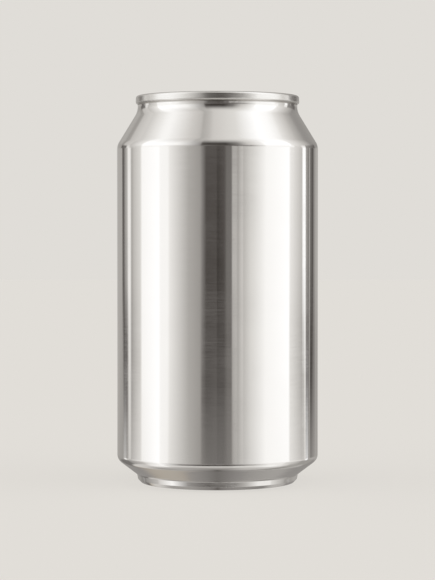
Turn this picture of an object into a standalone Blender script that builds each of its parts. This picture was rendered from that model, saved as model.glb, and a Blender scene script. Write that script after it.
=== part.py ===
"""Shut aluminium beverage can: drawn body, double-seamed end and stay-on tab.

Metres, +Z up. The origin is the centre of the base, on the surface the can stands on.
The pour opening faces -Y and the tab's finger ring +Y. The can is shut, so its body is
one solid, filled up to the end, and the three pieces keep a small gap where they meet.
"""

import math

import bmesh
import bpy
from mathutils import Vector

# Driving dimensions
CAN_HEIGHT = 0.1267
BODY_RADIUS = 0.0330
NECK_RADIUS = 0.0260
SEAM_RADIUS = 0.02685
SEAM_HEIGHT = 0.00275
SEAM_THICKNESS = 0.00120
GAP = 0.0003

# Shoulder: a straight cone, rounded into the wall and curved into the neck
SHOULDER_SLOPE = math.radians(31.5)
SHOULDER_HEIGHT = 0.1104
SHOULDER_FILLET = 0.0040
NECK_FILLET = 0.0070

# Base: a domed bottom inside a stand ring, and a cone out to the wall
BASE_SLOPE = math.radians(36.0)
BASE_HEIGHT = 0.0073
BASE_FILLET = 0.0035
FOOT_TOP = (0.02705, 0.0030)
FOOT_FILLET = 0.0012
STAND_OUTER_RADIUS = 0.02545
STAND_OUTER_FILLET = 0.0010
STAND_INNER_RADIUS = 0.0232
STAND_INNER_FILLET = 0.0008
DOME_EDGE = (0.0228, 0.0042)
DOME_EDGE_FILLET = 0.0010
DOME_DEPTH = 0.0102
DOME_STEPS = 6

# End: chuck wall down to the countersink groove, then up to the flat panel
SEAM_TOP_FILLET = 0.00085
SEAM_INNER_FILLET = 0.0003
SEAM_FOOT_FILLET = 0.0006
CHUCK_SLOPE = math.radians(12.0)
COUNTERSINK_DEPTH = 0.0064
COUNTERSINK_INNER_RADIUS = 0.0233
COUNTERSINK_FILLET = 0.00042
PANEL_DEPTH = 0.0042
PANEL_RADIUS = 0.0231
PANEL_FILLET = 0.0005
COLLAR_THICKNESS = 0.0004
PLUG_THICKNESS = 0.0004

# Recess pressed into the panel: two circles joined by their tangents
RECESS_DEPTH = 0.0004
RECESS_MOUTH = (-0.0090, 0.0122)
RECESS_FINGER = (0.0125, 0.0078)
RECESS_STEPS = 20

# Tab and the rivet that holds it
TAB_THICKNESS = 0.0013
TAB_WEB = 0.0005
TAB_NOSE_Y = -0.0080
TAB_HEEL_Y = 0.0165
TAB_HALF_WIDTH = 0.0079
TAB_NOSE_TAPER = 0.16
TAB_ROUNDNESS = 2.7
TAB_STEPS = 40
TAB_BEVEL = 0.00035
TAB_BEVEL_SEGMENTS = 2
RING_CENTRE_Y = 0.0098
RING_HALF_LENGTH = 0.0042
RING_HALF_WIDTH = 0.0051
RING_STEPS = 24
RIVET_RADIUS = 0.0015
RIVET_HEAD_RADIUS = 0.0024
RIVET_HEAD_HEIGHT = 0.0004
RIVET_ROOT = 0.0004
RIVET_HOLE_STEPS = 16
POCKET_RADIUS = 0.0036

SEGMENTS = 64
RIVET_SEGMENTS = 24
FILLET_STEP = math.radians(18.0)
SHARP_ANGLE = math.radians(28.0)
WELD_DISTANCE = 1e-6

PANEL_HEIGHT = CAN_HEIGHT - PANEL_DEPTH
RECESS_FLOOR = PANEL_HEIGHT - RECESS_DEPTH
TAB_BOTTOM = RECESS_FLOOR + GAP
TAB_TOP = TAB_BOTTOM + TAB_THICKNESS
SEAM_FOOT = CAN_HEIGHT - SEAM_HEIGHT
COLLAR_TOP = SEAM_FOOT - GAP
COLLAR_INNER_RADIUS = NECK_RADIUS - COLLAR_THICKNESS
PLUG_RADIUS = COLLAR_INNER_RADIUS - GAP
PLUG_BOTTOM = CAN_HEIGHT - COUNTERSINK_DEPTH - PLUG_THICKNESS
BODY_TOP = PLUG_BOTTOM - GAP


def clear_scene():
    """Remove every object of the scene that Blender starts with."""
    for scene_object in list(bpy.data.objects):
        bpy.data.objects.remove(scene_object, do_unlink=True)


def metal(name, colour, roughness):
    """Return a metallic Principled material."""
    material = bpy.data.materials.new(name)
    material.use_nodes = True
    shader = material.node_tree.nodes["Principled BSDF"]
    shader.inputs["Base Color"].default_value = (*colour, 1.0)
    shader.inputs["Metallic"].default_value = 1.0
    shader.inputs["Roughness"].default_value = roughness
    return material


def rounded(corners):
    """Return outline points from (x, y, fillet) corners, each fillet turned into an arc."""
    points = []
    last = len(corners) - 1
    for index, (x, y, fillet) in enumerate(corners):
        here = Vector((x, y))
        if fillet == 0.0 or index in (0, last):
            points.append(here)
            continue
        back = (Vector(corners[index - 1][:2]) - here).normalized()
        ahead = (Vector(corners[index + 1][:2]) - here).normalized()
        turn = math.pi - back.angle(ahead)
        reach = fillet * math.tan(turn / 2.0)
        start = here + back * reach
        centre = here + (back + ahead).normalized() * (fillet / math.cos(turn / 2.0))
        spoke = start - centre
        side = 1.0 if back.x * ahead.y - back.y * ahead.x < 0.0 else -1.0
        steps = max(2, math.ceil(turn / FILLET_STEP))
        for step in range(steps + 1):
            angle = side * turn * step / steps
            cosine, sine = math.cos(angle), math.sin(angle)
            arm = Vector((spoke.x * cosine - spoke.y * sine, spoke.x * sine + spoke.y * cosine))
            points.append(centre + arm)
    return points


def new_object(name, shape, material):
    """Turn a bmesh into a smooth-shaded object with its faces pointing out."""
    bmesh.ops.recalc_face_normals(shape, faces=shape.faces)
    mesh = bpy.data.meshes.new(name)
    shape.to_mesh(mesh)
    shape.free()
    mesh.shade_smooth()
    mesh.set_sharp_from_angle(angle=SHARP_ANGLE)
    mesh.materials.append(material)
    made = bpy.data.objects.new(name, mesh)
    bpy.context.scene.collection.objects.link(made)
    return made


def turned(name, outline, segments, material):
    """Spin an outline of (radius, height) points, which starts and ends on the axis."""
    shape = bmesh.new()
    rim = [shape.verts.new((point.x, 0.0, point.y)) for point in outline]
    for first, second in zip(rim, rim[1:]):
        shape.edges.new((first, second))
    bmesh.ops.spin(shape, geom=shape.verts[:] + shape.edges[:], cent=(0.0, 0.0, 0.0),
                   axis=(0.0, 0.0, 1.0), angle=2.0 * math.pi, steps=segments)
    bmesh.ops.remove_doubles(shape, verts=shape.verts, dist=WELD_DISTANCE)
    return new_object(name, shape, material)


def prism(name, outline, bottom, top, material):
    """Extrude a closed outline of (x, y) points from one height to another."""
    shape = bmesh.new()
    floor = shape.faces.new([shape.verts.new((x, y, bottom)) for x, y in outline])
    grown = bmesh.ops.extrude_face_region(shape, geom=[floor], use_keep_orig=True)
    raised = [item for item in grown["geom"] if isinstance(item, bmesh.types.BMVert)]
    bmesh.ops.translate(shape, verts=raised, vec=(0.0, 0.0, top - bottom))
    return new_object(name, shape, material)


def combine(target, tool, operation):
    """Cut or join a hidden shape with an exact Boolean modifier."""
    tool.hide_render = True
    tool.display_type = "WIRE"
    modifier = target.modifiers.new(tool.name, "BOOLEAN")
    modifier.operation = operation
    modifier.solver = "EXACT"
    modifier.object = tool


def oval(centre_y, half_width, half_length, roundness, steps):
    """Return a superellipse, rounder as its exponent nears 2 and squarer above it."""
    points = []
    for step in range(steps):
        angle = 2.0 * math.pi * step / steps
        cosine, sine = math.cos(angle), math.sin(angle)
        across = math.copysign(abs(cosine) ** (2.0 / roundness), cosine)
        along = math.copysign(abs(sine) ** (2.0 / roundness), sine)
        points.append((half_width * across, centre_y + half_length * along))
    return points


def dome_points():
    """Return the dome from the axis to its edge, an arc through the two heights."""
    rise = DOME_DEPTH - DOME_EDGE[1]
    sphere = (DOME_EDGE[0] ** 2 + rise ** 2) / (2.0 * rise)
    widest = math.asin(DOME_EDGE[0] / sphere)
    points = []
    for step in range(DOME_STEPS):
        angle = widest * step / DOME_STEPS
        points.append((sphere * math.sin(angle), DOME_DEPTH - sphere * (1.0 - math.cos(angle)), 0.0))
    return points


def body_outline():
    """Return the body's outline: dome, stand ring, lower cone, wall, shoulder and neck."""
    base_corner = BASE_HEIGHT
    foot_height = base_corner - (BODY_RADIUS - FOOT_TOP[0]) * math.tan(BASE_SLOPE)
    neck_corner = SHOULDER_HEIGHT + (BODY_RADIUS - NECK_RADIUS) / math.tan(SHOULDER_SLOPE)
    corners = dome_points()
    corners += [
        (*DOME_EDGE, DOME_EDGE_FILLET),
        (STAND_INNER_RADIUS, 0.0, STAND_INNER_FILLET),
        (STAND_OUTER_RADIUS, 0.0, STAND_OUTER_FILLET),
        (FOOT_TOP[0], foot_height, FOOT_FILLET),
        (BODY_RADIUS, base_corner, BASE_FILLET),
        (BODY_RADIUS, SHOULDER_HEIGHT, SHOULDER_FILLET),
        (NECK_RADIUS, neck_corner, min(NECK_FILLET, neck_fillet_limit(neck_corner))),
        (NECK_RADIUS, COLLAR_TOP, 0.0),
        (COLLAR_INNER_RADIUS, COLLAR_TOP, 0.0),
        (COLLAR_INNER_RADIUS, BODY_TOP, 0.0),
        (0.0, BODY_TOP, 0.0),
    ]
    return rounded(corners)


def neck_fillet_limit(neck_corner):
    """Return the largest neck fillet that still ends below the collar's top."""
    return (COLLAR_TOP - neck_corner) / math.tan(SHOULDER_SLOPE / 2.0)


def end_outline():
    """Return the end's outline without its rivet: panel, countersink, chuck wall and seam."""
    seam_inner = SEAM_RADIUS - SEAM_THICKNESS
    groove = CAN_HEIGHT - COUNTERSINK_DEPTH
    chuck_foot = seam_inner - COUNTERSINK_DEPTH * math.tan(CHUCK_SLOPE)
    return rounded([
        (0.0, PANEL_HEIGHT, 0.0),
        (PANEL_RADIUS, PANEL_HEIGHT, PANEL_FILLET),
        (COUNTERSINK_INNER_RADIUS, groove, COUNTERSINK_FILLET),
        (chuck_foot, groove, COUNTERSINK_FILLET),
        (seam_inner, CAN_HEIGHT, SEAM_INNER_FILLET),
        (SEAM_RADIUS, CAN_HEIGHT, SEAM_TOP_FILLET),
        (SEAM_RADIUS, SEAM_FOOT, SEAM_FOOT_FILLET),
        (PLUG_RADIUS, SEAM_FOOT, 0.0),
        (PLUG_RADIUS, PLUG_BOTTOM, 0.0),
        (0.0, PLUG_BOTTOM, 0.0),
    ])


def recess_outline():
    """Return the recess outline: two arcs joined by the common tangents of their circles."""
    mouth_y, mouth_radius = RECESS_MOUTH
    finger_y, finger_radius = RECESS_FINGER
    lean = math.asin((mouth_radius - finger_radius) / (finger_y - mouth_y))
    points = []
    for step in range(RECESS_STEPS + 1):
        angle = lean + (math.pi - 2.0 * lean) * step / RECESS_STEPS
        points.append((finger_radius * math.cos(angle), finger_y + finger_radius * math.sin(angle)))
    for step in range(RECESS_STEPS + 1):
        angle = math.pi - lean + (math.pi + 2.0 * lean) * step / RECESS_STEPS
        points.append((mouth_radius * math.cos(angle), mouth_y + mouth_radius * math.sin(angle)))
    return points


def tab_outline():
    """Return the tab's outline, an oval that narrows towards its nose."""
    centre_y = (TAB_NOSE_Y + TAB_HEEL_Y) / 2.0
    half_length = (TAB_HEEL_Y - TAB_NOSE_Y) / 2.0
    points = []
    for x, y in oval(centre_y, TAB_HALF_WIDTH, half_length, TAB_ROUNDNESS, TAB_STEPS):
        towards_nose = (TAB_HEEL_Y - y) / (TAB_HEEL_Y - TAB_NOSE_Y)
        points.append((x * (1.0 - TAB_NOSE_TAPER * towards_nose), y))
    return points


def make_body():
    """Make the drawn body with its domed base."""
    return turned("can_body", body_outline(), SEGMENTS, metal("brushed_body", (0.74, 0.74, 0.75), 0.28))


def make_end():
    """Make the end: the turned plate and seam, the pressed recess and the rivet."""
    material = metal("bright_end", (0.78, 0.78, 0.79), 0.24)
    end = turned("can_end", end_outline(), SEGMENTS, material)
    above_panel = PANEL_HEIGHT + RECESS_DEPTH
    combine(end, prism("recess_cutter", recess_outline(), RECESS_FLOOR, above_panel, material), "DIFFERENCE")

    head_bottom = TAB_BOTTOM + TAB_WEB + GAP
    head_top = head_bottom + RIVET_HEAD_HEIGHT
    rivet_outline = [Vector(point) for point in (
        (0.0, RECESS_FLOOR - RIVET_ROOT),
        (RIVET_RADIUS, RECESS_FLOOR - RIVET_ROOT),
        (RIVET_RADIUS, head_bottom),
        (RIVET_HEAD_RADIUS, head_bottom),
        (RIVET_HEAD_RADIUS, head_top),
        (0.0, head_top),
    )]
    combine(end, turned("rivet_blank", rivet_outline, RIVET_SEGMENTS, material), "UNION")
    return end


def make_tab():
    """Make the stay-on tab with its finger ring, rivet hole and the pocket round the rivet."""
    material = metal("tab_metal", (0.80, 0.80, 0.81), 0.22)
    tab = prism("pull_tab", tab_outline(), TAB_BOTTOM, TAB_TOP, material)
    below, above = TAB_BOTTOM - GAP, TAB_TOP + GAP
    ring = oval(RING_CENTRE_Y, RING_HALF_WIDTH, RING_HALF_LENGTH, TAB_ROUNDNESS, RING_STEPS)
    combine(tab, prism("ring_cutter", ring, below, above, material), "DIFFERENCE")

    bevel = tab.modifiers.new("rolled_edge", "BEVEL")
    bevel.width = TAB_BEVEL
    bevel.segments = TAB_BEVEL_SEGMENTS
    bevel.limit_method = "ANGLE"
    bevel.angle_limit = SHARP_ANGLE * 2.0

    pocket_floor = TAB_BOTTOM + TAB_WEB
    pocket = oval(0.0, POCKET_RADIUS, POCKET_RADIUS, 2.0, RIVET_SEGMENTS)
    combine(tab, prism("pocket_cutter", pocket, pocket_floor, above, material), "DIFFERENCE")
    hole_radius = RIVET_RADIUS + GAP
    hole = oval(0.0, hole_radius, hole_radius, 2.0, RIVET_HOLE_STEPS)
    combine(tab, prism("hole_cutter", hole, below, above, material), "DIFFERENCE")
    return tab


def main():
    """Build the can."""
    clear_scene()
    make_body()
    make_end()
    make_tab()


main()
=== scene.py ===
"""Looks of the shut aluminium beverage can: fine turned shells, sheet tab, finishes and studio."""

import logging
import math
from collections.abc import Sequence
from dataclasses import dataclass
from enum import Enum

import bpy
import numpy as np
from mathutils import Euler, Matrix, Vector


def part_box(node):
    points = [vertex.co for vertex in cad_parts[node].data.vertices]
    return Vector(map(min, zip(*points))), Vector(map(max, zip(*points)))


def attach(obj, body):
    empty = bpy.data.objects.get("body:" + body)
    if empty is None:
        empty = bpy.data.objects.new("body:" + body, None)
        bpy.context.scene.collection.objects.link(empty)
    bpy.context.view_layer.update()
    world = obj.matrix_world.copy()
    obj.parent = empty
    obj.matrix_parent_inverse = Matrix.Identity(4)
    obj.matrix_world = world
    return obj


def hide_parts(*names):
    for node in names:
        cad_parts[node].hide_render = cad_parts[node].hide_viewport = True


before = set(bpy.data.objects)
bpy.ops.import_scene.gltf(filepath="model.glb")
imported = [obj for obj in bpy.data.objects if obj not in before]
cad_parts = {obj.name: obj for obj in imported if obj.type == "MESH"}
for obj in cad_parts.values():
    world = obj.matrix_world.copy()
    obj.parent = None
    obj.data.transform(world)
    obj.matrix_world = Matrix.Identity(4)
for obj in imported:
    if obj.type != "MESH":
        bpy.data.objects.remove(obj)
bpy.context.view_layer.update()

BODY = "root"
MM = 0.001
LOG = logging.getLogger("can")

# The sockets of a Mix node that mixes colours, whose names its other sockets share.
MIX_SHARE = 0
MIX_FIRST = 6
MIX_SECOND = 7
MIX_RESULT = 2


# ---------------------------------------------------------------- colours and nodes

def linear(code: str) -> tuple[float, float, float, float]:
    """Turn an sRGB hex colour into linear RGBA.

    Args:
        code: The colour as "#RRGGBB".

    Returns:
        Red, green, blue and alpha, each from 0 to 1.
    """
    parts = [int(code[i:i + 2], 16) / 255.0 for i in (1, 3, 5)]
    curve = [p / 12.92 if p <= 0.04045 else ((p + 0.055) / 1.055) ** 2.4 for p in parts]
    return (curve[0], curve[1], curve[2], 1.0)


def add_node(tree: bpy.types.NodeTree, kind: str, settings: dict | None = None,
             links: dict | None = None) -> bpy.types.Node:
    """Add a node with its settings and links.

    Args:
        tree: The node tree that takes the node.
        kind: The node's type, such as "ShaderNodeMath".
        settings: Attributes by name, and socket values by socket name or number.
        links: The output socket that feeds each input, by the input's name or number.

    Returns:
        The new node.
    """
    node = tree.nodes.new(kind)
    for key, value in (settings or {}).items():
        if isinstance(key, int) or key in node.inputs:
            node.inputs[key].default_value = value
        else:
            setattr(node, key, value)
    for key, output in (links or {}).items():
        tree.links.new(output, node.inputs[key])
    return node


# ---------------------------------------------------------------- surfaces

@dataclass(frozen=True)
class Corner:
    """A corner of a turned outline, in metres, and the fillet that rounds it."""

    radius: float
    height: float
    fillet: float = 0.0


def rounded_outline(corners: Sequence[Corner], step: float = math.radians(3.0),
                    hold: float = 0.04 * MM, fewest: int = 3) -> np.ndarray:
    """Round the corners of an outline with arcs tangent to its straight stretches.

    An arc's centre lies on the corner's bisector, and its ends lie fillet times the tangent
    of half the turn from the corner. A holding point lies just outside each end of an arc.

    Args:
        corners: The outline's corners, in order.
        step: The largest angle between two points of an arc, in radians.
        hold: The distance from an arc's end to its holding point, in metres.
        fewest: The fewest straight stretches that draw an arc.

    Returns:
        The points as rows of radius and height.
    """
    places = np.array([(c.radius, c.height) for c in corners])
    points = [places[:1]]
    for index in range(1, len(corners) - 1):
        here, fillet = places[index], corners[index].fillet
        if fillet == 0.0:
            points.append(here[None])
            continue
        back = places[index - 1] - here
        ahead = places[index + 1] - here
        back /= np.linalg.norm(back)
        ahead /= np.linalg.norm(ahead)
        turn = math.pi - math.acos(float(np.clip(back @ ahead, -1.0, 1.0)))
        side = 1.0 if back[0] * ahead[1] - back[1] * ahead[0] < 0.0 else -1.0
        reach = fillet * math.tan(turn / 2.0)
        bisector = (back + ahead) / np.linalg.norm(back + ahead)
        centre = here + bisector * fillet / math.cos(turn / 2.0)
        spoke = here + back * reach - centre
        stretches = max(fewest, math.ceil(turn / step))
        angles = side * np.linspace(0.0, turn, stretches + 1)
        cosine, sine = np.cos(angles), np.sin(angles)
        arc = centre + np.stack([spoke[0] * cosine - spoke[1] * sine,
                                 spoke[0] * sine + spoke[1] * cosine], axis=1)
        points += [(here + back * (reach + hold))[None], arc, (here + ahead * (reach + hold))[None]]
    points.append(places[-1:])
    return np.concatenate(points)


def grid_faces(rows: int, columns: int, closed_rows: bool = False) -> np.ndarray:
    """Number the quads of a grid whose columns close on themselves.

    Args:
        rows: Points down the grid.
        columns: Points round the grid.
        closed_rows: Whether the last row also joins the first one.

    Returns:
        Four vertex numbers for each quad.
    """
    down = np.arange(rows if closed_rows else rows - 1)[:, None]
    across = np.arange(columns)[None, :]
    below, beside = (down + 1) % rows, (across + 1) % columns
    quads = [down * columns + across, down * columns + beside,
             below * columns + beside, below * columns + across]
    return np.stack([np.broadcast_to(q, (len(down), columns)) for q in quads], axis=-1).reshape(-1, 4)


def new_piece(name: str, points: np.ndarray, faces: list[np.ndarray]) -> bpy.types.Object:
    """Make a smooth-shaded object from arrays of points and faces.

    Args:
        name: The piece's name.
        points: One row of x, y and z for each vertex, in metres.
        faces: Arrays of vertex numbers, one array for each number of sides.

    Returns:
        The object, at the origin and linked to the scene.
    """
    mesh = bpy.data.meshes.new(name)
    mesh.from_pydata(points.tolist(), [], [row for block in faces for row in block.tolist()])
    mesh.shade_smooth()
    mesh.update()
    made = bpy.data.objects.new(name, mesh)
    bpy.context.scene.collection.objects.link(made)
    return made


def turned_points(outline: np.ndarray, segments: int) -> tuple[np.ndarray, list[np.ndarray]]:
    """Turn an outline about the Z axis.

    A point at angle t is (radius cos t, radius sin t, height). The two ends are single
    vertices, joined to their rings by triangles, and the outline runs up the outside.

    Args:
        outline: Rows of radius and height, the first and the last on the axis.
        segments: Points round the axis.

    Returns:
        The vertices, and the quads and triangles that join them.
    """
    angle = np.linspace(0.0, 2.0 * math.pi, segments, endpoint=False)
    rings = outline[1:-1]
    radius, height = rings[:, :1], rings[:, 1:]
    wall = np.stack([radius * np.cos(angle), radius * np.sin(angle),
                     np.broadcast_to(height, (len(rings), segments))], axis=-1).reshape(-1, 3)
    poles = np.array([(0.0, 0.0, outline[0, 1]), (0.0, 0.0, outline[-1, 1])])
    low, high = len(wall), len(wall) + 1
    around = np.arange(segments)
    beside = (around + 1) % segments
    top = (len(rings) - 1) * segments
    floor_fan = np.stack([np.full(segments, low), beside, around], axis=1)
    lid_fan = np.stack([np.full(segments, high), top + around, top + beside], axis=1)
    quads = grid_faces(len(rings), segments)
    return np.concatenate([wall, poles]), [quads, floor_fan, lid_fan]


def smooth_step(low: float, high: float, value: np.ndarray) -> np.ndarray:
    """Return 0 below low and 1 above high, joined by the cubic 3t^2 - 2t^3."""
    share = np.clip((value - low) / (high - low), 0.0, 1.0)
    return share * share * (3.0 - 2.0 * share)


def superellipse(steps: int, half_width: float, half_length: float, centre_y: float,
                 exponent: float, fineness: int = 24) -> np.ndarray:
    """Return a closed loop on which |x/a|^n + |y/b|^n is 1, evenly spaced along its length.

    Args:
        steps: Points on the loop.
        half_width: Its reach along X.
        half_length: Its reach along Y.
        centre_y: The Y of its centre.
        exponent: n, which is 2 on an ellipse and larger on a squarer shape.
        fineness: Points that measure the loop's length, for each point that is kept.

    Returns:
        Rows of x and y, anticlockwise from +X.
    """
    angle = np.linspace(0.0, 2.0 * math.pi, fineness * steps + 1)
    cosine, sine = np.cos(angle), np.sin(angle)
    x = half_width * np.sign(cosine) * np.abs(cosine) ** (2.0 / exponent)
    y = centre_y + half_length * np.sign(sine) * np.abs(sine) ** (2.0 / exponent)
    travel = np.concatenate([[0.0], np.cumsum(np.hypot(np.diff(x), np.diff(y)))])
    even = np.linspace(0.0, travel[-1], steps, endpoint=False)
    return np.stack([np.interp(even, travel, x), np.interp(even, travel, y)], axis=1)


def dress(piece: bpy.types.Object, nodes: Sequence[str]) -> bpy.types.Object:
    """Let a finished piece ride on the can and stand for its CAD nodes.

    Args:
        piece: The piece, with its materials.
        nodes: The names of the CAD nodes that it stands for.

    Returns:
        The same piece.
    """
    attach(piece, BODY)
    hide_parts(*nodes)
    return piece


# ---------------------------------------------------------------- finishes

class Grain(Enum):
    """The way the fine lines of a sheet run: round the can's axis, or straight along X or Y.

    A value is the noise's scale along X, Y and Z, which is small in the lines' own direction.
    """

    ROUND = (0.05, 0.05, 1.0)
    ALONG_X = (0.03, 1.0, 1.0)
    ALONG_Y = (1.0, 0.03, 1.0)


@dataclass(frozen=True)
class MetalFinish:
    """A bare or lacquered aluminium surface with fine lines left by how it was made.

    The real lines are some hundredths of a millimetre wide, and line_width draws them as
    coarse as they need to be to show.
    """

    name: str
    colour: str = "#F4F3F2"
    roughness: float = 0.2
    roughness_spread: float = 0.04
    anisotropy: float = 0.0
    anisotropy_turn: float = 0.25
    grain: Grain = Grain.ROUND
    line_width: float = 0.35 * MM
    line_depth: float = 0.0006 * MM
    line_shade: float = 0.05
    line_detail: float = 3.0
    line_raggedness: float = 0.6
    line_range: tuple[float, float] = (0.35, 0.65)
    patch_size: float = 14.0 * MM
    patch_detail: float = 2.0
    patch_range: tuple[float, float] = (0.1, 0.5)
    lacquer: float = 0.0
    lacquer_roughness: float = 0.08

    def material(self) -> bpy.types.Material:
        """Build the finish.

        The lines are noise drawn out along the grain. They shade the metal and emboss it,
        and with a broader, patchy noise they vary its roughness.

        Returns:
            The node material.
        """
        made = bpy.data.materials.new(self.name)
        made.use_nodes = True
        tree = made.node_tree
        tree.nodes.clear()
        place = add_node(tree, "ShaderNodeTexCoord").outputs["Object"]
        stretch = tuple(share / self.line_width for share in self.grain.value)
        drawn_out = add_node(tree, "ShaderNodeMapping", {"vector_type": "POINT", "Scale": stretch},
                             {"Vector": place})
        lines = add_node(tree, "ShaderNodeTexNoise",
                         {"Scale": 1.0, "Detail": self.line_detail, "Roughness": self.line_raggedness},
                         {"Vector": drawn_out.outputs["Vector"]})
        patches = add_node(tree, "ShaderNodeTexNoise",
                           {"Scale": 1.0 / self.patch_size, "Detail": self.patch_detail},
                           {"Vector": place})
        light = linear(self.colour)
        dark = tuple(channel * (1.0 - self.line_shade) for channel in light[:3]) + (1.0,)
        spread = add_node(tree, "ShaderNodeMapRange",
                          {"From Min": self.line_range[0], "From Max": self.line_range[1]},
                          {"Value": lines.outputs["Fac"]})
        colour = add_node(tree, "ShaderNodeMix",
                          {"data_type": "RGBA", "clamp_factor": True, MIX_FIRST: dark, MIX_SECOND: light},
                          {MIX_SHARE: spread.outputs["Result"]})
        mixed = add_node(tree, "ShaderNodeMath", {"operation": "MULTIPLY"},
                         {0: patches.outputs["Fac"], 1: lines.outputs["Fac"]})
        rough = add_node(tree, "ShaderNodeMapRange",
                         {"From Min": self.patch_range[0], "From Max": self.patch_range[1],
                          "To Min": self.roughness - self.roughness_spread,
                          "To Max": self.roughness + self.roughness_spread},
                         {"Value": mixed.outputs["Value"]})
        relief = add_node(tree, "ShaderNodeBump", {"Strength": 1.0, "Distance": self.line_depth},
                          {"Height": lines.outputs["Fac"]})
        shader = add_node(tree, "ShaderNodeBsdfPrincipled",
                          {"Metallic": 1.0, "Anisotropic": self.anisotropy,
                           "Coat Weight": self.lacquer, "Coat Roughness": self.lacquer_roughness},
                          {"Base Color": colour.outputs[MIX_RESULT], "Roughness": rough.outputs["Result"],
                           "Normal": relief.outputs["Normal"]})
        if self.anisotropy > 0.0:
            # The tangent follows the lines round the axis, and a quarter turn from it the
            # reflections are drawn out across them.
            shader.inputs["Anisotropic Rotation"].default_value = self.anisotropy_turn
            tangent = add_node(tree, "ShaderNodeTangent", {"direction_type": "RADIAL", "axis": "Z"})
            tree.links.new(tangent.outputs["Tangent"], shader.inputs["Tangent"])
        add_node(tree, "ShaderNodeOutputMaterial", None, {"Surface": shader.outputs["BSDF"]})
        return made


# ---------------------------------------------------------------- the can's pieces

@dataclass
class CanBody:
    """The drawn and ironed body: domed base, stand ring, wall, shoulder cone and neck."""

    radius: float
    can_height: float
    neck_radius: float = 26.2 * MM
    shoulder_slope: float = math.radians(31.5)
    shoulder_height: float = 110.4 * MM
    shoulder_fillet: float = 4.9 * MM
    neck_fillet: float = 5.4 * MM
    neck_top_depth: float = 2.2 * MM
    neck_wall: float = 0.4 * MM
    # How far below the top the darker band reaches, which paints the shade of the crevice under the seam.
    joint_shade_depth: float = 3.15 * MM
    plug_depth: float = 7.1 * MM
    base_slope: float = math.radians(37.3)
    base_height: float = 7.63 * MM
    base_fillet: float = 3.2 * MM
    foot_radius: float = 26.5 * MM
    foot_fillet: float = 0.3 * MM
    foot_knee: Corner = Corner(26.2 * MM, 1.1 * MM, 0.1 * MM)
    stand_outer: Corner = Corner(25.15 * MM, 0.0, 0.4 * MM)
    stand_inner: Corner = Corner(23.2 * MM, 0.0, 0.8 * MM)
    dome_edge: Corner = Corner(22.8 * MM, 4.2 * MM, 1.0 * MM)
    dome_depth: float = 10.2 * MM
    dome_rings: int = 40
    segments: int = 320
    # Ironed 3104 aluminium sheet: the ironing rings draw fine lines round the wall, so
    # reflections stay crisp from side to side and are drawn out up and down.
    wall_finish: MetalFinish = MetalFinish(
        "ironed_aluminium_wall", roughness=0.105, roughness_spread=0.045, anisotropy=0.95,
        line_depth=0.0012 * MM, line_shade=0.015)
    # The dome keeps the cold-rolled surface of the sheet: greyer, duller and straight-grained.
    dome_finish: MetalFinish = MetalFinish(
        "rolled_aluminium_dome", colour="#E4E3E1", roughness=0.34, grain=Grain.ALONG_X,
        line_width=0.5 * MM, line_shade=0.08)
    # Sealing compound and painted shade where the seam closes on the neck: one thin dark line that stands
    # for the shade of the crevice under the seam.
    joint_shade_finish: MetalFinish = MetalFinish(
        "seam_joint_painted_shade", colour="#C6C3BF", roughness=0.25)

    def outline(self) -> np.ndarray:
        """Work out the body's outline.

        The dome is part of a sphere of radius (r^2 + d^2) / 2d, for an edge of radius r that
        lies d below the crown. Straight stretches with filleted corners follow it.

        Returns:
            Rows of radius and height: the dome from its crown, the stand ring, the wall, the
            shoulder, the neck, and the plate inside the neck back to the axis.
        """
        rise = self.dome_depth - self.dome_edge.height
        sphere = (self.dome_edge.radius ** 2 + rise ** 2) / (2.0 * rise)
        widest = math.asin(self.dome_edge.radius / sphere)
        angle = np.linspace(0.0, widest, self.dome_rings, endpoint=False)
        dome = np.stack([sphere * np.sin(angle),
                         self.dome_depth - sphere * (1.0 - np.cos(angle))], axis=1)
        foot_height = self.base_height - (self.radius - self.foot_radius) * math.tan(self.base_slope)
        neck_rise = (self.radius - self.neck_radius) / math.tan(self.shoulder_slope)
        neck_corner = self.shoulder_height + neck_rise
        neck_top = self.can_height - self.neck_top_depth
        rest = rounded_outline([
            Corner(*dome[-1]),
            self.dome_edge,
            self.stand_inner,
            self.stand_outer,
            self.foot_knee,
            Corner(self.foot_radius, foot_height, self.foot_fillet),
            Corner(self.radius, self.base_height, self.base_fillet),
            Corner(self.radius, self.shoulder_height, self.shoulder_fillet),
            Corner(self.neck_radius, neck_corner, self.neck_fillet),
            Corner(self.neck_radius, self.can_height - self.joint_shade_depth),
            Corner(self.neck_radius, neck_top),
            Corner(self.neck_radius - self.neck_wall, neck_top),
            Corner(self.neck_radius - self.neck_wall, self.can_height - self.plug_depth),
            Corner(0.0, self.can_height - self.plug_depth),
        ])
        return np.concatenate([dome[:-1], rest])

    def build(self) -> bpy.types.Object:
        """Make and dress the body, with its three finishes on the faces where they lie.

        Returns:
            The piece that stands for the CAD body.
        """
        points, faces = turned_points(self.outline(), self.segments)
        piece = new_piece("drawn_body", points, faces)
        # Each finish's place among the piece's materials, in the order of the loop below.
        wall, dome, joint_shade = range(3)
        for finish in (self.wall_finish, self.dome_finish, self.joint_shade_finish):
            piece.data.materials.append(finish.material())
        centres = np.empty(3 * len(piece.data.polygons), np.float32)
        piece.data.polygons.foreach_get("center", centres)
        x, y, z = centres.reshape(-1, 3).T
        # The thin band just under the seam takes the darker finish: painted shade of the crevice there,
        # with the sealing compound.
        on_joint_shade = z > self.can_height - self.joint_shade_depth
        on_dome = (np.hypot(x, y) < self.dome_edge.radius) & (z < self.dome_depth)
        chosen = np.select([on_joint_shade, on_dome], [joint_shade, dome], default=wall)
        piece.data.polygons.foreach_set("material_index", chosen.astype(np.int32))
        return dress(piece, ["can_body"])


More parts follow.
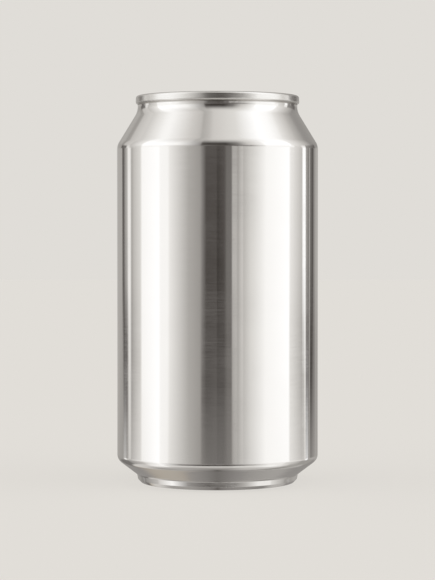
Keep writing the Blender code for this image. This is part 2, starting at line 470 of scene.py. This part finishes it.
@dataclass
class CanEnd:
    """The seamed end: double seam, chuck wall, countersink and the pressed panel."""

    radius: float
    can_height: float
    seam_height: float = 2.7 * MM
    seam_thickness: float = 1.2 * MM
    seam_lean: float = 0.12 * MM
    seam_top_fillet: float = 0.78 * MM
    seam_foot_fillet: float = 0.6 * MM
    seam_inner_fillet: float = 0.35 * MM
    plug_inset: float = 1.4 * MM
    plug_thickness: float = 0.3 * MM
    chuck_slope: float = math.radians(12.0)
    countersink_depth: float = 6.4 * MM
    countersink_inner: float = 23.3 * MM
    groove_fillet: float = 0.42 * MM
    panel_depth: float = 4.2 * MM
    panel_radius: float = 23.1 * MM
    panel_fillet: float = 0.5 * MM
    recess_depth: float = 0.4 * MM
    recess_mouth: tuple[float, float] = (-9.0 * MM, 12.2 * MM)
    recess_finger: tuple[float, float] = (12.5 * MM, 7.8 * MM)
    recess_ramp: float = 0.7 * MM
    opening_centre: float = -11.4 * MM
    opening_half_width: float = 10.2 * MM
    opening_half_length: float = 8.0 * MM
    opening_roundness: float = 2.3
    score_depth: float = 0.14 * MM
    score_width: float = 0.20 * MM
    bead_height: float = 0.30 * MM
    bead_inset: float = 2.5 * MM
    bead_width: float = 0.75 * MM
    well_centre: float = 16.3 * MM
    well_half_width: float = 5.6 * MM
    well_half_length: float = 3.3 * MM
    well_depth: float = 0.9 * MM
    well_floor: float = 0.35
    coin_height: float = 0.2 * MM
    coin_slope: tuple[float, float] = (2.6 * MM, 3.8 * MM)
    arc_step: float = math.radians(6.0)
    height_margin: float = 0.01 * MM
    panel_rings: int = 150
    segments: int = 384
    # Rolled 5182 sheet under a clear epoxy lacquer: bright and softly blurred, with a faint
    # straight grain.
    finish: MetalFinish = MetalFinish(
        "lacquered_aluminium_end", colour="#F2F1EF", roughness=0.23, grain=Grain.ALONG_X,
        line_width=0.45 * MM, line_shade=0.04, lacquer=0.25)

    def outline(self) -> np.ndarray:
        """Work out the end's outline, with close rings on the panel that take its relief.

        Returns:
            Rows of radius and height: the plug's underside from the axis, the plug's side, the
            seam, the chuck wall, the countersink, and the flat panel back to the axis.
        """
        seam_inner = self.radius - self.seam_thickness
        groove = self.can_height - self.countersink_depth
        chuck_foot = seam_inner - self.countersink_depth * math.tan(self.chuck_slope)
        panel = self.can_height - self.panel_depth
        foot = self.can_height - self.seam_height
        plug_radius = self.radius - self.plug_inset
        plug_bottom = groove - self.plug_thickness
        rim = rounded_outline([
            Corner(0.0, plug_bottom),
            Corner(plug_radius, plug_bottom),
            Corner(plug_radius, foot),
            Corner(self.radius, foot, self.seam_foot_fillet),
            Corner(self.radius - self.seam_lean, self.can_height, self.seam_top_fillet),
            Corner(seam_inner, self.can_height, self.seam_inner_fillet),
            Corner(chuck_foot, groove, self.groove_fillet),
            Corner(self.countersink_inner, groove, self.groove_fillet),
            Corner(self.panel_radius, panel, self.panel_fillet),
            Corner(0.0, panel),
        ], step=self.arc_step)
        inward = np.linspace(rim[-2, 0], 0.0, self.panel_rings)[1:]
        flat = np.stack([inward, np.full(len(inward), panel)], axis=1)
        return np.concatenate([rim[:-1], flat])

    def relief(self, x: np.ndarray, y: np.ndarray) -> np.ndarray:
        """Return how far the pressed panel stands above its flat.

        The recess is two circles joined by their tangents, sunk through a smooth ramp. The
        score is a Gaussian groove along the opening's superellipse, the bead a Gaussian
        ridge inside it, the finger well a smooth elliptical dish, and the coin under the
        rivet a smooth round rise.

        Args:
            x: Places along X, in metres.
            y: Places along Y, in metres.

        Returns:
            The height above the flat at each place, in metres.
        """
        mouth_y, mouth_r = self.recess_mouth
        finger_y, finger_r = self.recess_finger
        span = finger_y - mouth_y
        lean = (mouth_r - finger_r) / span
        rise = math.sqrt(1.0 - lean * lean)
        side, along = np.abs(x), y - mouth_y
        place = rise * along - lean * side
        near_mouth = np.hypot(side, along) - mouth_r
        near_finger = np.hypot(side, along - span) - finger_r
        between = side * rise + along * lean - mouth_r
        outside = np.where(place < 0.0, near_mouth, np.where(place > rise * span, near_finger, between))
        sunk = -self.recess_depth * (1.0 - smooth_step(-self.recess_ramp, 0.0, outside))

        power = self.opening_roundness
        reach = (np.abs(x / self.opening_half_width) ** power
                 + np.abs((y - self.opening_centre) / self.opening_half_length) ** power) ** (1.0 / power)
        inset = (1.0 - reach) * self.opening_half_length
        score = -self.score_depth * np.exp(-(inset / self.score_width) ** 2)
        bead = self.bead_height * np.exp(-((inset - self.bead_inset) / self.bead_width) ** 2)

        well = np.hypot(x / self.well_half_width, (y - self.well_centre) / self.well_half_length)
        dish = -self.well_depth * (1.0 - smooth_step(self.well_floor, 1.0, well))
        inner, outer = self.coin_slope
        coin = self.coin_height * (1.0 - smooth_step(inner, outer, np.hypot(x, y)))
        return sunk + score + bead + dish + coin

    def build(self) -> bpy.types.Object:
        """Make and dress the end.

        Returns:
            The piece that stands for the CAD end.
        """
        points, faces = turned_points(self.outline(), self.segments)
        reach = np.hypot(points[:, 0], points[:, 1])
        lowest = self.can_height - self.panel_depth - self.height_margin
        on_panel = (reach < self.panel_radius - self.panel_fillet) & (points[:, 2] > lowest)
        points[on_panel, 2] += self.relief(points[on_panel, 0], points[on_panel, 1])
        piece = new_piece("seamed_end", points, faces)
        piece.data.materials.append(self.finish.material())
        return dress(piece, ["can_end"])


@dataclass
class PullTab:
    """The stay-on tab: one sheet with rolled edges, a finger ring and an island at the rivet."""

    low: Vector
    high: Vector
    nose_taper: float = 0.16
    roundness: float = 2.7
    ring_centre: float = 9.8 * MM
    ring_half_length: float = 4.2 * MM
    ring_half_width: float = 5.1 * MM
    web_thickness: float = 0.35 * MM
    web_drop: float = 0.45 * MM
    web_ramp: float = 0.8 * MM
    roll: float = 0.65 * MM
    island_radius: float = 3.3 * MM
    island_ramp: float = 0.35 * MM
    island_lift: float = 0.1 * MM
    slot_width: float = 0.55 * MM
    slot_floor: float = 0.12 * MM
    slot_squareness: int = 4
    slot_ends: tuple[float, float] = (-2.4 * MM, -1.2 * MM)
    around: int = 288
    across: int = 96
    rivet_radius: float = 2.4 * MM
    rivet_height: float = 0.7 * MM
    rivet_fillet: float = 0.25 * MM
    dimple_radius: float = 1.3 * MM
    dimple_floor_radius: float = 0.9 * MM
    dimple_depth: float = 0.22 * MM
    dimple_fillet: float = 0.3 * MM
    rivet_arc_step: float = math.radians(8.0)
    rivet_segments: int = 96
    # Stamped 5182 strip, bare: a bright face with faint lines along the strip.
    finish: MetalFinish = MetalFinish(
        "stamped_aluminium_tab", colour="#F3F2F0", roughness=0.17, grain=Grain.ALONG_Y,
        line_width=0.4 * MM, line_shade=0.04)

    def loops(self) -> tuple[np.ndarray, np.ndarray]:
        """Work out the two edges of the sheet, both superellipses.

        The outer edge narrows evenly towards the nose, and is then scaled to the CAD tab's
        half width.

        Returns:
            The outer edge and the finger ring, each as rows of x and y, point for point.
        """
        half_length = (self.high.y - self.low.y) / 2.0
        centre = (self.high.y + self.low.y) / 2.0
        widest = 1.0 - self.nose_taper / 2.0
        outer = superellipse(self.around, self.high.x / widest, half_length, centre, self.roundness)
        towards_nose = (self.high.y - outer[:, 1]) / (2.0 * half_length)
        outer[:, 0] *= 1.0 - self.nose_taper * towards_nose
        outer[:, 0] *= self.high.x / outer[:, 0].max()
        ring = superellipse(self.around, self.ring_half_width, self.ring_half_length,
                            self.ring_centre, self.roundness)
        return outer, ring

    def heights(self, plan: np.ndarray, edge: np.ndarray) -> tuple[np.ndarray, np.ndarray]:
        """Work out the sheet's two faces, as heights above the middle of the tab's thickness.

        The top follows a quarter circle off either edge, which makes the rolled edge, and then
        falls to the web. The underside mirrors the quarter circle, and then rises until the
        web is one sheet thick. Round the rivet both pass to a flat island, and a deep slot
        sets that off except towards the nose.

        Args:
            plan: The x and y of each point.
            edge: Each point's distance from the nearer edge, in metres.

        Returns:
            The heights of the top and of the underside.
        """
        crest = (self.high.z - self.low.z) / 2.0
        curl = np.sqrt(np.clip(1.0 - (1.0 - np.clip(edge / self.roll, 0.0, 1.0)) ** 2, 0.0, 1.0))
        inner = smooth_step(self.roll, self.roll + self.web_ramp, edge)
        top = crest * curl - self.web_drop * inner
        web_under = crest - self.web_drop - self.web_thickness
        bottom = -crest * curl + (crest + web_under) * inner

        reach = np.hypot(plan[..., 0], plan[..., 1])
        island = 1.0 - smooth_step(self.island_radius, self.island_radius + self.island_ramp, reach)
        island_top = -crest + self.web_thickness + self.island_lift
        top = top * (1.0 - island) + island_top * island
        bottom = bottom * (1.0 - island) - crest * island

        half_slot = self.slot_width / 2.0
        slot = np.exp(-((reach - self.island_radius - half_slot) / half_slot) ** self.slot_squareness)
        open_side = smooth_step(*self.slot_ends, plan[..., 1])
        return top - slot * open_side * np.clip(top + crest - self.slot_floor, 0.0, None), bottom

    def build(self) -> bpy.types.Object:
        """Make and dress the tab as one closed sheet.

        The sheet runs straight from each point of the outer edge to its point of the ring,
        with its points closer together near both.

        Returns:
            The tab's piece.
        """
        outer, ring = self.loops()
        share = (1.0 - np.cos(np.linspace(0.0, math.pi, self.across))) / 2.0
        plan = outer[None] * (1.0 - share[:, None, None]) + ring[None] * share[:, None, None]
        width = np.linalg.norm(ring - outer, axis=1)[None]
        edge = width * np.minimum(share, 1.0 - share)[:, None]
        top, bottom = self.heights(plan, edge)
        middle = (self.low.z + self.high.z) / 2.0
        upper = np.concatenate([plan, middle + top[..., None]], axis=-1)
        lower = np.concatenate([plan, middle + bottom[..., None]], axis=-1)[1:-1][::-1]
        points = np.concatenate([upper, lower])
        faces = grid_faces(len(points), self.around, closed_rows=True)
        piece = new_piece("tab_sheet", points.reshape(-1, 3), [faces[:, ::-1]])
        piece.data.materials.append(self.finish.material())
        return dress(piece, ["pull_tab"])

    def build_rivet(self) -> bpy.types.Object:
        """Make the rivet's flattened head, a turned button with a shallow dimple.

        Returns:
            The rivet's piece.
        """
        seat = self.low.z
        head = seat + self.web_thickness + self.rivet_height
        dimple = head - self.dimple_depth
        outline = rounded_outline([
            Corner(0.0, seat),
            Corner(self.rivet_radius, seat),
            Corner(self.rivet_radius, head, self.rivet_fillet),
            Corner(self.dimple_radius, head, self.dimple_fillet),
            Corner(self.dimple_floor_radius, dimple, self.dimple_fillet),
            Corner(0.0, dimple),
        ], step=self.rivet_arc_step)
        points, faces = turned_points(outline, self.rivet_segments)
        piece = new_piece("rivet_head", points, faces)
        piece.data.materials.append(self.finish.material())
        # The CAD end holds the rivet, and the seamed end already stands for that.
        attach(piece, BODY)
        return piece


# ---------------------------------------------------------------- studio

HALF_TURN = 180.0

# Where a colour ramp's new stop waits until it is given its place.
UNPLACED = 0.5


def turn_share(azimuth: float) -> float:
    """Return an azimuth in degrees as a share of the turn from -180 to 180 degrees."""
    return (azimuth + HALF_TURN) / (2.0 * HALF_TURN)


class Tone(Enum):
    """What the studio's panels are made of, from the darkest cloth to the bare softbox."""

    VELVET = "#383431"
    CHARCOAL = "#4A4643"
    SLATE = "#5C5855"
    IRON = "#706D6A"
    STEEL = "#8A8784"
    STONE = "#96938F"
    BUFF = "#A89F92"
    FELT = "#A5A29E"
    CLAY = "#B6B3AF"
    PAPER = "#C6C3BF"
    LINEN = "#D6D4D0"
    SILK = "#E6E4E1"
    SCRIM = "#F3F2F0"
    SOFTBOX = "#FFFFFF"


@dataclass(frozen=True)
class Panel:
    """One panel of a ring, which reaches from its start to the next panel's start, in degrees.

    Azimuth 0 is behind the camera, and it grows towards +X. A panel has one tone, or runs
    from its own tone at the start to the fading tone at the end.
    """

    start: float
    tone: Tone
    fading: Tone | None = None


@dataclass(frozen=True)
class PanelRing:
    """A ring of panels round the can, up to the elevation where it gives way to the next ring.

    It starts to give way fade degrees below its top, and has gone fade degrees above it.
    """

    top: float
    fade: float
    panels: tuple[Panel, ...]


# The rings of a product studio, from straight down to straight up. A softbox on either side
# lights the can. Between them a black flag hides the camera, thin strip lights and dark cards
# behind the can draw its edges, and the table runs from the pale sweep in front to the can's own
# shade behind.

# Straight below, the table lies in the can's own shade.
UNDER = PanelRing(-74.0, 10.0, (
    Panel(-180.0, Tone.SLATE, Tone.STEEL),
    Panel(-90.0, Tone.STEEL, Tone.IRON),
    Panel(-20.0, Tone.SLATE),
    Panel(20.0, Tone.IRON, Tone.STEEL),
    Panel(90.0, Tone.STEEL, Tone.SLATE),
))

# The table near the can: an even grey in front, darker behind, with warm buff card near -155 degrees.
TABLE_NEAR = PanelRing(-48.0, 8.0, (
    Panel(-180.0, Tone.IRON, Tone.STEEL),
    Panel(-156.6, Tone.STEEL, Tone.BUFF),
    Panel(-153.8, Tone.BUFF, Tone.CLAY),
    Panel(-147.0, Tone.CLAY, Tone.STONE),
    Panel(-135.0, Tone.STONE),
    Panel(-110.0, Tone.FELT),
    Panel(-70.0, Tone.FELT, Tone.STONE),
    Panel(-20.0, Tone.STONE),
    Panel(20.0, Tone.STONE, Tone.CLAY),
    Panel(50.0, Tone.CLAY),
    Panel(105.0, Tone.FELT, Tone.IRON),
    Panel(134.5, Tone.STEEL, Tone.CLAY),
    Panel(138.0, Tone.CLAY, Tone.STONE),
    Panel(154.8, Tone.STEEL, Tone.IRON),
))

# Farther out the table turns pale in front of the can and stays dark behind it.
TABLE_MID = PanelRing(-31.0, 2.5, (
    Panel(-180.0, Tone.IRON),
    Panel(-169.0, Tone.IRON, Tone.STEEL),
    Panel(-160.0, Tone.STEEL, Tone.BUFF),
    Panel(-154.0, Tone.BUFF, Tone.PAPER),
    Panel(-147.0, Tone.PAPER),
    Panel(-100.0, Tone.SILK, Tone.SCRIM),
    Panel(-70.0, Tone.LINEN, Tone.PAPER),
    Panel(-35.0, Tone.PAPER),
    Panel(20.0, Tone.LINEN),
    Panel(45.0, Tone.LINEN, Tone.SCRIM),
    Panel(75.0, Tone.SCRIM, Tone.PAPER),
    Panel(105.0, Tone.FELT, Tone.STONE),
    Panel(138.0, Tone.CLAY, Tone.FELT),
    Panel(153.0, Tone.FELT, Tone.STEEL),
    Panel(159.0, Tone.STEEL, Tone.IRON),
))

# The far table shows the flag's shade in the middle and the softboxes' light at the sides.
TABLE_FAR = PanelRing(-13.5, 2.5, (
    Panel(-180.0, Tone.STEEL),
    Panel(-160.0, Tone.IRON),
    Panel(-129.0, Tone.STEEL, Tone.CLAY),
    Panel(-98.0, Tone.PAPER, Tone.SCRIM),
    Panel(-72.0, Tone.SCRIM, Tone.STEEL),
    Panel(-44.0, Tone.STEEL, Tone.CHARCOAL),
    Panel(-14.0, Tone.CHARCOAL),
    Panel(8.0, Tone.CHARCOAL, Tone.IRON),
    Panel(24.0, Tone.IRON, Tone.FELT),
    Panel(40.0, Tone.FELT, Tone.SILK),
    Panel(64.0, Tone.SILK),
    Panel(86.0, Tone.LINEN, Tone.FELT),
    Panel(115.0, Tone.STONE),
    Panel(150.0, Tone.STEEL),
))

# The table's edge. The strip lights lean out, and their feet stand at -136 and 121 degrees.
TABLE_EDGE = PanelRing(-5.9, 3.1, (
    Panel(-180.0, Tone.STONE),
    Panel(-136.5, Tone.SILK),
    Panel(-128.5, Tone.PAPER),
    Panel(-123.7, Tone.CLAY),
    Panel(-116.5, Tone.PAPER, Tone.SILK),
    Panel(-97.0, Tone.SILK, Tone.SOFTBOX),
    Panel(-70.0, Tone.SCRIM, Tone.SILK),
    Panel(-58.0, Tone.LINEN, Tone.STONE),
    Panel(-20.0, Tone.STONE, Tone.STEEL),
    Panel(-8.0, Tone.STEEL),
    Panel(8.0, Tone.STEEL, Tone.STONE),
    Panel(18.0, Tone.FELT, Tone.SCRIM),
    Panel(57.0, Tone.SCRIM),
    Panel(91.0, Tone.SILK, Tone.PAPER),
    Panel(121.0, Tone.SOFTBOX),
    Panel(127.4, Tone.FELT),
    Panel(142.0, Tone.FELT, Tone.STONE),
))

# Round the horizon, the left softbox and the cloths that lead from it to the flag.
LEFT_SOFTBOX = (
    Panel(-97.0, Tone.SCRIM, Tone.SOFTBOX),
    Panel(-69.0, Tone.SCRIM),
    Panel(-56.6, Tone.SILK, Tone.FELT),
    Panel(-32.0, Tone.FELT, Tone.STONE),
)

# Round the horizon, the cloths that lead from the flag to the right softbox.
RIGHT_SOFTBOX = (
    Panel(22.2, Tone.FELT),
    Panel(24.0, Tone.CLAY, Tone.PAPER),
    Panel(28.6, Tone.CLAY, Tone.LINEN),
    Panel(39.0, Tone.LINEN, Tone.SCRIM),
    Panel(57.0, Tone.SCRIM, Tone.SOFTBOX),
)

# Just below the horizon: on either side a dark card behind the can, with a thin strip light
# before it, and the flag between the softboxes.
LOW = PanelRing(-2.2, 1.4, (
    Panel(-180.0, Tone.LINEN, Tone.FELT),
    Panel(-162.0, Tone.FELT, Tone.STONE),
    Panel(-136.5, Tone.VELVET),
    Panel(-126.0, Tone.SLATE, Tone.STEEL),
    Panel(-122.6, Tone.LINEN),
    Panel(-116.8, Tone.STEEL, Tone.PAPER),
    *LEFT_SOFTBOX,
    Panel(-18.4, Tone.SLATE, Tone.VELVET),
    Panel(-12.3, Tone.VELVET, Tone.CHARCOAL),
    Panel(-0.8, Tone.VELVET),
    Panel(7.4, Tone.CHARCOAL),
    Panel(10.0, Tone.SLATE),
    Panel(16.3, Tone.FELT, Tone.CLAY),
    *RIGHT_SOFTBOX,
    Panel(89.0, Tone.LINEN, Tone.STONE),
    Panel(113.4, Tone.FELT),
    Panel(117.4, Tone.LINEN),
    Panel(120.8, Tone.SLATE),
    Panel(128.8, Tone.STONE),
    Panel(131.2, Tone.VELVET),
    Panel(139.0, Tone.SLATE, Tone.STEEL),
    Panel(151.0, Tone.STONE),
    Panel(166.0, Tone.STONE, Tone.LINEN),
))

# Round the horizon: the same set, with paler cards and brighter strip lights.
LEVEL = PanelRing(4.0, 1.2, (
    Panel(-180.0, Tone.LINEN, Tone.FELT),
    Panel(-162.0, Tone.FELT),
    Panel(-139.8, Tone.SLATE),
    Panel(-133.4, Tone.STEEL, Tone.CLAY),
    Panel(-124.0, Tone.SILK),
    Panel(-116.8, Tone.FELT),
    Panel(-112.5, Tone.CLAY, Tone.LINEN),
    *LEFT_SOFTBOX,
    Panel(-18.4, Tone.STEEL, Tone.CHARCOAL),
    Panel(-12.3, Tone.CHARCOAL),
    Panel(-0.8, Tone.VELVET, Tone.CHARCOAL),
    Panel(6.3, Tone.CHARCOAL, Tone.SLATE),
    Panel(9.6, Tone.IRON),
    Panel(16.3, Tone.CLAY),
    *RIGHT_SOFTBOX,
    Panel(90.0, Tone.SILK, Tone.CLAY),
    Panel(113.4, Tone.SOFTBOX),
    Panel(120.3, Tone.FELT, Tone.IRON),
    Panel(128.8, Tone.FELT),
    Panel(131.4, Tone.IRON, Tone.CHARCOAL),
    Panel(142.6, Tone.STEEL, Tone.STONE),
    Panel(151.0, Tone.FELT),
    Panel(166.0, Tone.FELT, Tone.LINEN),
))

# Just above the horizon: broader cards and a paler flag.
FILL = PanelRing(11.0, 2.5, (
    Panel(-180.0, Tone.FELT, Tone.STONE),
    Panel(-144.0, Tone.SLATE, Tone.IRON),
    Panel(-128.0, Tone.LINEN),
    Panel(-120.0, Tone.CLAY, Tone.LINEN),
    Panel(-97.0, Tone.SCRIM),
    Panel(-66.0, Tone.SCRIM, Tone.PAPER),
    Panel(-40.0, Tone.PAPER, Tone.STEEL),
    Panel(-19.0, Tone.IRON, Tone.SLATE),
    Panel(0.0, Tone.SLATE),
    Panel(20.0, Tone.SLATE, Tone.STEEL),
    Panel(40.0, Tone.STONE, Tone.SILK),
    Panel(57.0, Tone.SCRIM),
    Panel(98.0, Tone.LINEN, Tone.PAPER),
    Panel(112.0, Tone.SILK),
    Panel(120.0, Tone.STEEL, Tone.SLATE),
    Panel(148.0, Tone.STEEL, Tone.STONE),
))

# Higher up: the softboxes at full light, and the black flag between them.
FLAG = PanelRing(38.0, 20.0, (
    Panel(-180.0, Tone.SLATE),
    Panel(-169.0, Tone.FELT),
    Panel(-150.0, Tone.STONE),
    Panel(-140.0, Tone.CLAY, Tone.PAPER),
    Panel(-122.0, Tone.CLAY, Tone.SILK),
    Panel(-98.0, Tone.SOFTBOX),
    Panel(-66.0, Tone.SOFTBOX, Tone.SCRIM),
    Panel(-48.0, Tone.SCRIM, Tone.STEEL),
    Panel(-18.5, Tone.CHARCOAL, Tone.VELVET),
    Panel(-9.0, Tone.VELVET),
    Panel(9.0, Tone.VELVET, Tone.IRON),
    Panel(22.0, Tone.IRON, Tone.PAPER),
    Panel(37.0, Tone.PAPER, Tone.SCRIM),
    Panel(56.0, Tone.SOFTBOX),
    Panel(95.0, Tone.SILK, Tone.CLAY),
    Panel(122.0, Tone.CLAY, Tone.STEEL),
    Panel(140.0, Tone.STEEL, Tone.STONE),
    Panel(169.0, Tone.SLATE),
))

# Overhead: pale cloth, lightest over the right softbox and dark behind the can.
CEILING = PanelRing(90.0, 1.0, (
    Panel(-180.0, Tone.SLATE),
    Panel(-169.0, Tone.FELT, Tone.LINEN),
    Panel(-120.0, Tone.LINEN, Tone.SCRIM),
    Panel(-88.0, Tone.SCRIM, Tone.PAPER),
    Panel(-50.0, Tone.PAPER, Tone.CLAY),
    Panel(-32.0, Tone.FELT, Tone.CLAY),
    Panel(-18.0, Tone.CLAY, Tone.PAPER),
    Panel(-8.0, Tone.PAPER, Tone.LINEN),
    Panel(38.0, Tone.LINEN, Tone.SOFTBOX),
    Panel(75.0, Tone.SOFTBOX, Tone.SCRIM),
    Panel(105.0, Tone.SILK, Tone.PAPER),
    Panel(125.0, Tone.CLAY, Tone.FELT),
    Panel(169.0, Tone.SLATE),
))


@dataclass
class Studio:
    """The rings of panels that light the can, the pale floor and backdrop, and the camera.

    Lengths are in metres, the lens and the sensor in millimetres. A panel blends into the
    next one over edge_softness degrees on either side of their join.
    """

    rings: tuple[PanelRing, ...] = (UNDER, TABLE_NEAR, TABLE_MID, TABLE_FAR, TABLE_EDGE,
                                    LOW, LEVEL, FILL, FLAG, CEILING)
    backdrop: str = "#E0DDD8"
    light_gain: float = 1.17
    edge_softness: float = 0.45
    panels_per_ramp: int = 12
    camera_distance: float = 0.700
    camera_height: float = 0.0820
    camera_tilt: float = math.radians(1.549)
    lens: float = 132.1
    sensor: float = 36.0
    floor_size: float = 6.0
    floor_glow: float = 0.80
    floor_white: float = 0.31
    clip_near: float = 0.01
    clip_far: float = 50.0

    def add_ring(self, tree: bpy.types.NodeTree, ring: PanelRing,
                 share: bpy.types.NodeSocket) -> bpy.types.NodeSocket:
        """Add a ring as colour ramps over the azimuth, with panels_per_ramp panels at most in each.

        Where one ramp follows another, the panels meet without a blend.

        Args:
            tree: The world's node tree.
            ring: The ring.
            share: The azimuth as a share of the full turn.

        Returns:
            The ring's colour.
        """
        ends = [panel.start for panel in ring.panels[1:]] + [HALF_TURN]
        spans = list(zip(ring.panels, ends))
        colour = None
        for first in range(0, len(spans), self.panels_per_ramp):
            part = spans[first:first + self.panels_per_ramp]
            ramp = add_node(tree, "ShaderNodeValToRGB", None, {"Fac": share})
            elements = ramp.color_ramp.elements
            stops = []
            for panel, end in part:
                stops.append((panel.start + self.edge_softness, panel.tone))
                stops.append((end - self.edge_softness, panel.fading or panel.tone))
            for _ in stops[len(elements):]:
                elements.new(UNPLACED)
            for element, (azimuth, tone) in zip(elements, stops):
                element.position = turn_share(azimuth)
                element.color = linear(tone.value)
            if colour is None:
                colour = ramp.outputs["Color"]
                continue
            join = turn_share(ring.panels[first].start)
            past = add_node(tree, "ShaderNodeMath", {"operation": "GREATER_THAN", 1: join}, {0: share})
            both = add_node(tree, "ShaderNodeMix", {"data_type": "RGBA"},
                            {MIX_SHARE: past.outputs["Value"], MIX_FIRST: colour,
                             MIX_SECOND: ramp.outputs["Color"]})
            colour = both.outputs[MIX_RESULT]
        return colour

    def add_rings(self, tree: bpy.types.NodeTree) -> bpy.types.NodeSocket:
        """Add all the rings, and pass from each to the next by a smooth step in elevation.

        A direction's azimuth is the arctangent of x over -y, and its elevation the arcsine
        of z.

        Args:
            tree: The world's node tree.

        Returns:
            The colour of the panels in each direction.
        """
        way = add_node(tree, "ShaderNodeTexCoord").outputs["Generated"]
        axes = add_node(tree, "ShaderNodeSeparateXYZ", None, {0: way})
        toward = add_node(tree, "ShaderNodeMath", {"operation": "MULTIPLY", 1: -1.0},
                          {0: axes.outputs["Y"]})
        azimuth = add_node(tree, "ShaderNodeMath", {"operation": "ARCTAN2"},
                           {0: axes.outputs["X"], 1: toward.outputs["Value"]})
        share = add_node(tree, "ShaderNodeMapRange", {"From Min": -math.pi, "From Max": math.pi},
                         {"Value": azimuth.outputs["Value"]}).outputs["Result"]
        climb = add_node(tree, "ShaderNodeMath", {"operation": "ARCSINE"}, {0: axes.outputs["Z"]})
        colour = self.add_ring(tree, self.rings[0], share)
        for lower, upper in zip(self.rings, self.rings[1:]):
            step = add_node(tree, "ShaderNodeMapRange",
                            {"interpolation_type": "SMOOTHSTEP",
                             "From Min": math.radians(lower.top - lower.fade),
                             "From Max": math.radians(lower.top + lower.fade)},
                            {"Value": climb.outputs["Value"]})
            above = self.add_ring(tree, upper, share)
            mixed = add_node(tree, "ShaderNodeMix", {"data_type": "RGBA"},
                             {MIX_SHARE: step.outputs["Result"], MIX_FIRST: colour, MIX_SECOND: above})
            colour = mixed.outputs[MIX_RESULT]
        return colour

    def light(self) -> None:
        """Build the world: the rings light the can, and the camera sees the plain backdrop."""
        world = bpy.data.worlds.new("studio")
        bpy.context.scene.world = world
        world.use_nodes = True
        tree = world.node_tree
        tree.nodes.clear()
        studio = add_node(tree, "ShaderNodeBackground", {"Strength": self.light_gain},
                          {"Color": self.add_rings(tree)})
        plain = add_node(tree, "ShaderNodeBackground", {"Color": linear(self.backdrop)})
        seen = add_node(tree, "ShaderNodeLightPath").outputs["Is Camera Ray"]
        both = add_node(tree, "ShaderNodeMixShader", None,
                        {0: seen, 1: studio.outputs[0], 2: plain.outputs[0]})
        add_node(tree, "ShaderNodeOutputWorld", None, {"Surface": both.outputs[0]})

    def lay_floor(self) -> None:
        """Lay the pale floor, which mostly glows, so that the can's shadow on it stays faint."""
        half = self.floor_size / 2.0
        corners = np.array([(-half, -half, 0.0), (half, -half, 0.0), (half, half, 0.0), (-half, half, 0.0)])
        floor = new_piece("studio_floor", corners, [np.array([[0, 1, 2, 3]])])
        material = bpy.data.materials.new("pale_paper_sweep")
        material.use_nodes = True
        tree = material.node_tree
        tree.nodes.clear()
        tone = linear(self.backdrop)
        paper = add_node(tree, "ShaderNodeBsdfDiffuse",
                         {"Color": tuple(c * self.floor_white for c in tone[:3]) + (1.0,)})
        glow = add_node(tree, "ShaderNodeEmission", {"Color": tone, "Strength": self.floor_glow})
        both = add_node(tree, "ShaderNodeAddShader", None, {0: paper.outputs[0], 1: glow.outputs[0]})
        add_node(tree, "ShaderNodeOutputMaterial", None, {"Surface": both.outputs[0]})
        floor.data.materials.append(material)
        floor.visible_glossy = False

    def place_camera(self) -> None:
        """Stand the camera in front of the can, a little above its middle, looking slightly down."""
        data = bpy.data.cameras.new("camera")
        data.lens = self.lens
        data.sensor_width = self.sensor
        data.clip_start = self.clip_near
        data.clip_end = self.clip_far
        camera = bpy.data.objects.new("camera", data)
        camera.location = (0.0, -self.camera_distance, self.camera_height)
        camera.rotation_euler = Euler((math.pi / 2.0 - self.camera_tilt, 0.0, 0.0))
        bpy.context.scene.collection.objects.link(camera)
        bpy.context.scene.camera = camera

    def build(self) -> None:
        """Set the studio up."""
        bpy.context.scene.view_settings.view_transform = "Standard"
        self.light()
        self.lay_floor()
        self.place_camera()


def main() -> None:
    """Build the can's pieces in order and report each, then set up the studio round them."""
    logging.basicConfig(level=logging.INFO, format="%(name)s: %(message)s")
    body_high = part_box("can_body")[1]
    end_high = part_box("can_end")[1]
    tab_low, tab_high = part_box("pull_tab")
    body = CanBody(radius=body_high.x, can_height=end_high.z)
    end = CanEnd(radius=end_high.x, can_height=end_high.z)
    tab = PullTab(low=tab_low, high=tab_high)
    for piece in (body.build(), end.build(), tab.build(), tab.build_rivet()):
        LOG.info("%s: %d faces", piece.name, len(piece.data.polygons))
    Studio().build()


if __name__ == "__main__":
    main()
